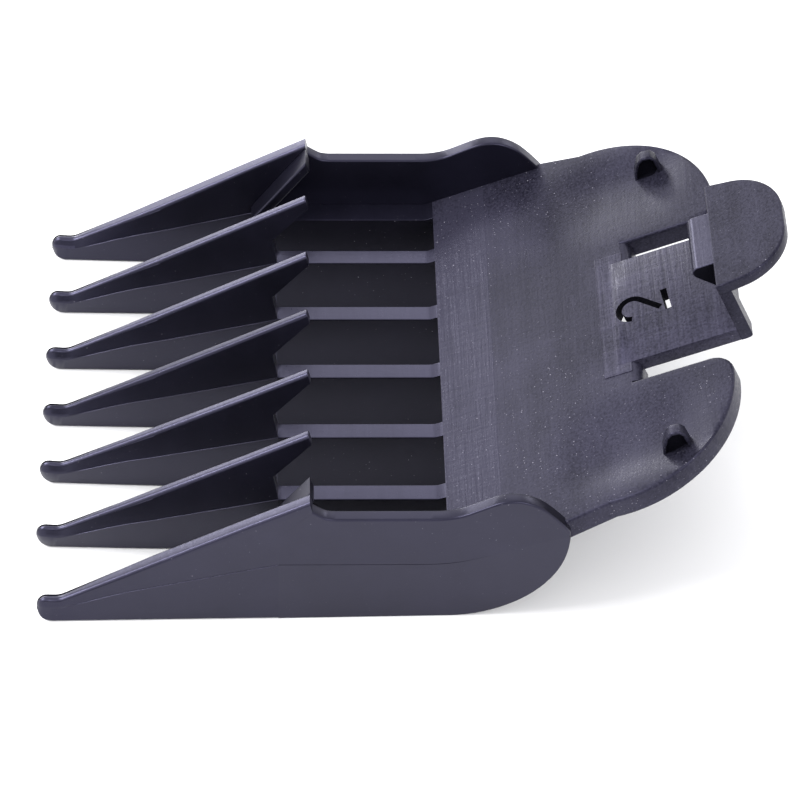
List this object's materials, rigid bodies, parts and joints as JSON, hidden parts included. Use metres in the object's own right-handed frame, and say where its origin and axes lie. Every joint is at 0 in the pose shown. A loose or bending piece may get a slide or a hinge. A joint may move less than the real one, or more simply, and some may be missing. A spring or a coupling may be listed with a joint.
{
  "type": "clipper guide comb",
  "caption": "Clip-on hair clipper guide comb with long wedge-shaped teeth, an open blade bay, a sloping rear plate and a sprung latch with a thumb tab.",
  "frame": {"origin": "on the scalp plane, under the middle of the comb's length and width", "axes": "+Z away from the scalp, +X from the teeth to the latch, +Y to the comb's left side"},
  "size_m": [0.0687, 0.0493, 0.0274],
  "materials": {
    "comb_plastic": "fine satin mould finish, near black with a faint violet cast",
    "latch_plastic": "the same plastic, with a lightly textured tongue"
  },
  "bodies": {
    "comb": {"base_plate": "comb_plastic", "tooth_2": "comb_plastic", "tooth_3": "comb_plastic", "tooth_4": "comb_plastic", "tooth_5": "comb_plastic", "tooth_6": "comb_plastic", "outer_tooth_left": "comb_plastic", "outer_tooth_right": "comb_plastic", "web_2": "comb_plastic", "web_3": "comb_plastic", "web_4": "comb_plastic", "web_5": "comb_plastic", "web_6": "comb_plastic", "rail_left": "comb_plastic", "rail_right": "comb_plastic", "side_wall_left": "comb_plastic", "side_wall_right": "comb_plastic", "slant_web_left": "comb_plastic", "slant_web_right": "comb_plastic", "lobe_left": "comb_plastic", "lobe_right": "comb_plastic", "nub_left": "comb_plastic", "nub_right": "comb_plastic"},
    "latch": {"latch_tongue": "latch_plastic", "latch_post_left": "latch_plastic", "latch_post_right": "latch_plastic", "latch_beam": "latch_plastic", "latch_barb": "latch_plastic", "thumb_tab": "latch_plastic"}
  },
  "joints": [
    {"name": "latch_flex", "type": "hinge", "parent": "comb", "child": "latch", "pos_m": [0.02098, 0, 0.01458], "axis": [0, 1, 0], "range_deg": [-3, 12], "stiffness_Nm_per_rad": 0.5}
  ]
}
